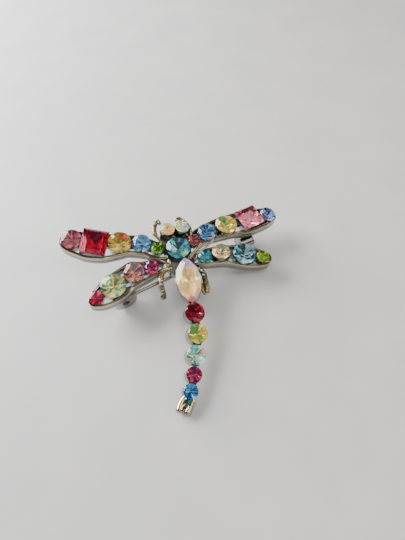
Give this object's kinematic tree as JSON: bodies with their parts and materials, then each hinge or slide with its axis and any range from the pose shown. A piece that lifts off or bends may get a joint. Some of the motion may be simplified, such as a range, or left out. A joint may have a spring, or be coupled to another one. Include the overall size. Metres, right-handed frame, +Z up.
{
  "type": "dragonfly brooch",
  "caption": "Dragonfly-shaped cast metal brooch set with cut glass stones, with a hinged pin stem and a catch behind the wings.",
  "frame": {"origin": "on the surface that the brooch lies on, under the middle of its box", "axes": "+Z up out of the stones' faces, +X along the wings to the right, +Y from the tail to the head"},
  "size_m": [0.0643, 0.0622, 0.0155],
  "materials": {
    "antiqued_metal": "antiqued silver-tone plate, polished on the high edges",
    "steel": "drawn and polished steel",
    "cream_yellow": "cut and polished foil-backed glass",
    "turquoise": "cut and polished foil-backed glass",
    "cream": "cut and polished foil-backed glass",
    "crystal": "cut and polished foil-backed glass",
    "peridot": "cut and polished foil-backed glass",
    "light_sapphire": "cut and polished foil-backed glass",
    "jonquil": "cut and polished foil-backed glass",
    "siam_red": "cut and polished foil-backed glass",
    "pale_rose": "cut and polished foil-backed glass",
    "fuchsia": "cut and polished foil-backed glass",
    "dusty_rose": "cut and polished foil-backed glass",
    "mint": "cut and polished foil-backed glass",
    "ruby": "cut and polished foil-backed glass",
    "salmon": "cut and polished foil-backed glass",
    "sapphire": "cut and polished foil-backed glass",
    "pale_yellow": "cut and polished foil-backed glass",
    "pink": "cut and polished foil-backed glass",
    "grey_blue": "cut and polished foil-backed glass",
    "teal": "cut and polished foil-backed glass",
    "champagne": "cut and polished foil-backed glass",
    "aqua": "cut and polished foil-backed glass",
    "lime": "cut and polished foil-backed glass",
    "ice_blue": "cut and polished foil-backed glass"
  },
  "bodies": {
    "brooch": {"frame": "antiqued_metal", "rivet": "steel", "body_stone": "cream_yellow", "head_stone": "turquoise", "left_eye_stone": "cream", "right_eye_stone": "crystal", "upper_left_stone_1": "peridot", "upper_left_stone_2": "light_sapphire", "upper_left_stone_3": "jonquil", "upper_left_stone_4": "siam_red", "upper_left_stone_5": "pale_rose", "lower_left_stone_1": "fuchsia", "lower_left_stone_2": "dusty_rose", "lower_left_stone_3": "mint", "lower_left_stone_4": "ruby", "upper_right_stone_1": "salmon", "upper_right_stone_2": "sapphire", "upper_right_stone_3": "pale_yellow", "upper_right_stone_4": "pink", "upper_right_stone_5": "grey_blue", "lower_right_stone_1": "teal", "lower_right_stone_2": "champagne", "lower_right_stone_3": "aqua", "lower_right_stone_4": "lime", "tail_stone_1": "ruby", "tail_stone_2": "lime", "tail_stone_3": "ice_blue", "tail_stone_4": "fuchsia", "tail_stone_5": "sapphire"},
    "pin": {"pin_stem": "steel"}
  },
  "joints": [
    {"name": "pin_swing", "type": "hinge", "parent": "brooch", "child": "pin", "pos_m": [-0.01325, 0.00106, 0.00354], "axis": [-0.4831, 0.8558, 0.1847], "range_deg": [0, 100]}
  ]
}
